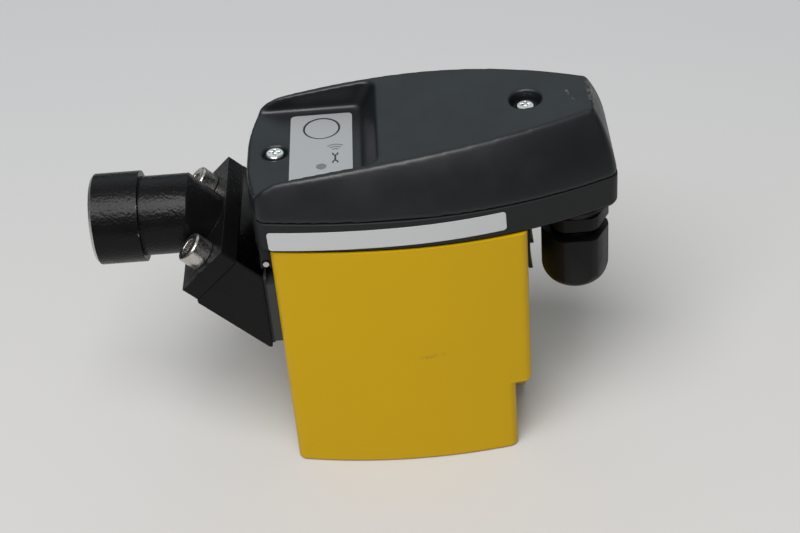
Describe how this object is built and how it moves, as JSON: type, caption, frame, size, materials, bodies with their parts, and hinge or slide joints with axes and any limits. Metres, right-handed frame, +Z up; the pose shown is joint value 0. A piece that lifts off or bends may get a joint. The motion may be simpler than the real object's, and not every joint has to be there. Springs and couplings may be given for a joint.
{
  "type": "automatic drain valve",
  "caption": "Electronic condensate drain: black flanged screw-in inlet, yellow bellied service unit with low side outlet, grey hood with keypad well, cable gland.",
  "frame": {"origin": "centre of the bounding box in plan, on the plane the service unit's foot stands on", "axes": "+X from the inlet to the outlet and the cable gland, +Y across the drain, +Z up out of the hood"},
  "size_m": [0.164, 0.0642, 0.1188],
  "materials": {
    "yellow_paint": "satin",
    "black_coat": "satin",
    "hood_plastic": "matte",
    "tray_plastic": "matte",
    "gland_plastic": "satin",
    "seal_rubber": "matte",
    "container_plastic": "matte",
    "stainless": "satin",
    "bright_zinc": "polished",
    "core_steel": "satin",
    "brass": "satin",
    "valve_plastic": "satin",
    "foil_silver": "satin",
    "lamp_clear": "clear",
    "lamp_chip": "gloss",
    "board_green": "gloss",
    "component_black": "satin",
    "terminal_green": "satin",
    "coil_copper": "satin",
    "label_paper": "satin"
  },
  "bodies": {
    "drain_unit": {"yellow_shell": "yellow_paint", "container": "container_plastic", "lid_gasket": "seal_rubber", "service_lid": "container_plastic", "lid_screws": "stainless", "shell_screws": "stainless", "valve_seat": "brass", "diaphragm": "seal_rubber", "diaphragm_spring": "stainless", "pilot_nozzle": "brass", "core_tube": "stainless", "tube_ring": "seal_rubber", "fixed_core": "core_steel", "armature_spring": "stainless", "sensor_tube": "valve_plastic", "sensor_ring": "seal_rubber", "sensor_probe": "stainless", "inlet_adapter": "black_coat", "adapter_ring": "seal_rubber", "inlet_block": "black_coat", "block_seal": "seal_rubber", "flange_screws": "stainless", "outlet_bush": "brass", "hook_pin": "stainless", "hood_tray": "tray_plastic", "hood_seal": "seal_rubber", "hood_cover": "hood_plastic", "cover_screws": "bright_zinc", "keypad_foil": "foil_silver", "light_guides": "lamp_clear", "circuit_board": "board_green", "board_screws": "stainless", "key_switch": "component_black", "status_lamps": "lamp_chip", "board_capacitors": "component_black", "terminal_block": "terminal_green", "coil_yoke": "core_steel", "solenoid_coil": "coil_copper", "gland_body": "gland_plastic", "gland_ring": "seal_rubber", "gland_insert": "seal_rubber", "latch_pin": "stainless", "rating_label": "label_paper"},
    "key": {"test_key": "foil_silver"},
    "pilot_armature": {"armature": "core_steel", "armature_seal": "seal_rubber"},
    "valve_piston": {"valve_core": "valve_plastic"},
    "latch": {"release_latch": "tray_plastic"},
    "cable_nut": {"gland_nut": "gland_plastic"}
  },
  "joints": [
    {"name": "test_key_press", "type": "slide", "parent": "drain_unit", "child": "key", "axis": [0, 0, -1], "range_m": [0, 0.0004], "stiffness_N_per_m": 900, "springref_m": -0.0006},
    {"name": "armature_lift", "type": "slide", "parent": "drain_unit", "child": "pilot_armature", "axis": [0, 0, 1], "range_m": [0, 0.0018], "stiffness_N_per_m": 300, "springref_m": -0.003, "deforming": ["armature_spring"]},
    {"name": "diaphragm_lift", "type": "slide", "parent": "drain_unit", "child": "valve_piston", "axis": [0, 0, 1], "range_m": [0, 0.0025], "stiffness_N_per_m": 400, "springref_m": -0.003, "deforming": ["diaphragm_spring", "diaphragm"]},
    {"name": "latch_release", "type": "hinge", "parent": "drain_unit", "child": "latch", "pos_m": [0.0556, 0, 0.0864], "axis": [0, -1, 0], "range_deg": [0, 6], "stiffness_Nm_per_rad": 0.4, "springref_deg": -6.88},
    {"name": "gland_nut_turn", "type": "hinge", "parent": "drain_unit", "child": "cable_nut", "pos_m": [0.07025, 0, 0.0588], "axis": [0, 0, 1], "range_deg": [0, 180]}
  ]
}
